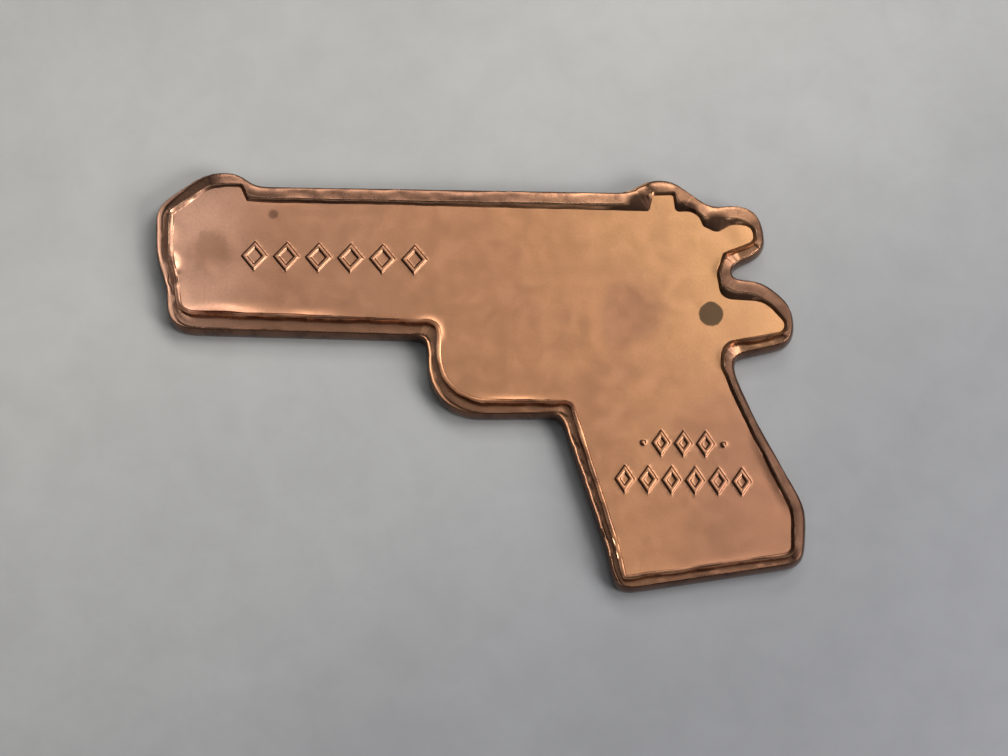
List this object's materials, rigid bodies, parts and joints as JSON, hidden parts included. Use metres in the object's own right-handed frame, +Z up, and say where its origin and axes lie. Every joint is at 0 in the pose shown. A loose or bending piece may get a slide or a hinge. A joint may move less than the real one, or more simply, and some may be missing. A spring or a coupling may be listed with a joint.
{
  "type": "pistol-shaped copper bullion bar",
  "caption": "Flat struck copper bullion piece in the outline of a pistol, with a raised rim round a sunk field, lying on its plain back.",
  "frame": {"origin": "middle of the bounding box's underside, which is the plain back that the piece lies on", "axes": "+X from the muzzle to the back of the grip, +Y from the butt to the top of the slide, +Z up out of the struck front"},
  "size_m": [0.035, 0.023, 0.0015],
  "materials": {
    "struck_copper": "struck copper, soft satin shine on the field, browner on the rim's outer slope"
  },
  "bodies": {
    "root": {"copper_bar": "struck_copper"}
  },
  "joints": []
}
